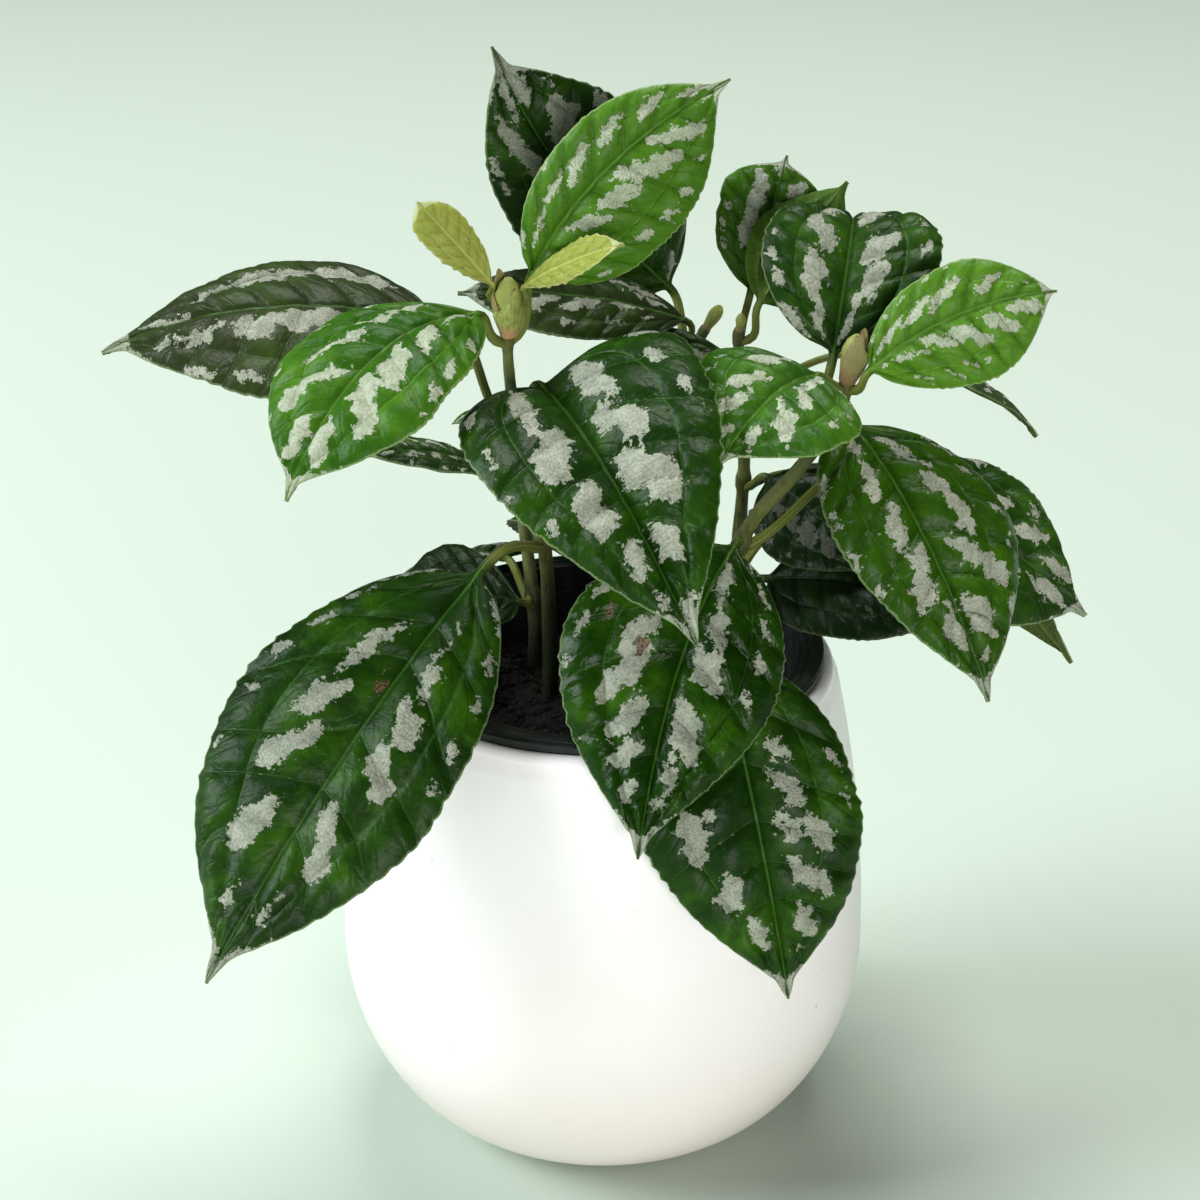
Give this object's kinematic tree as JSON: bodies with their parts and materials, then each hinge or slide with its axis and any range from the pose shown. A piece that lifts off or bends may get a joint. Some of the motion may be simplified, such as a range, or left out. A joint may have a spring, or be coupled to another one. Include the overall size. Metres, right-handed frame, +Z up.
{
  "type": "potted plant",
  "caption": "Leafy house plant with silver-marked, quilted leaves in opposite pairs on slender stems, in a dark growing pot inside a round white pot.",
  "frame": {"origin": "middle of the round face under the pot's foot", "axes": "+Z up, out of the pot; -Y towards the camera of the picture, +X to its right"},
  "size_m": [0.2106, 0.1709, 0.2482],
  "materials": {
    "white_ceramic": "smooth satin glaze",
    "dark_plastic": "satin moulded plastic",
    "soil": "rough, loose and damp",
    "stem_green": "waxy, olive to brown",
    "leaf_dark": "glossy green with raised silver patches",
    "leaf_bright": "glossy light green with raised silver patches",
    "leaf_young": "soft satin, pale yellow green"
  },
  "bodies": {
    "root": {"pot": "white_ceramic", "growing_pot": "dark_plastic", "soil": "soil", "stem_left": "stem_green", "stem_right": "stem_green", "stem_back_right": "stem_green", "stem_back": "stem_green", "stem_back_left": "stem_green", "leaf_left_low": "leaf_dark", "leaf_left_side": "leaf_dark", "leaf_front": "leaf_dark", "leaf_left_bright": "leaf_bright", "leaf_top_bright": "leaf_bright", "leaf_young_left": "leaf_young", "leaf_young_right": "leaf_young", "leaf_right_hanging": "leaf_dark", "leaf_front_low": "leaf_dark", "leaf_right_back": "leaf_dark", "leaf_right_front": "leaf_dark", "leaf_right_up": "leaf_dark", "leaf_right_bright": "leaf_bright", "leaf_right_small": "leaf_bright", "leaf_upper_back": "leaf_dark", "leaf_upper_curled": "leaf_dark", "leaf_centre_dark": "leaf_dark", "leaf_right_far": "leaf_dark", "leaf_inner_right": "leaf_dark", "leaf_right_under": "leaf_dark", "leaf_right_shaded": "leaf_dark", "leaf_rear_right": "leaf_dark", "leaf_back_top": "leaf_dark", "leaf_back_across": "leaf_dark", "leaf_rear_high": "leaf_dark", "leaf_inner_front": "leaf_dark", "leaf_rear_low": "leaf_dark", "leaf_left_far": "leaf_dark", "leaf_left_shaded": "leaf_dark", "leaf_rear_small": "leaf_dark", "leaf_rear_left": "leaf_dark", "leaf_rear_left_low": "leaf_dark"}
  },
  "joints": []
}
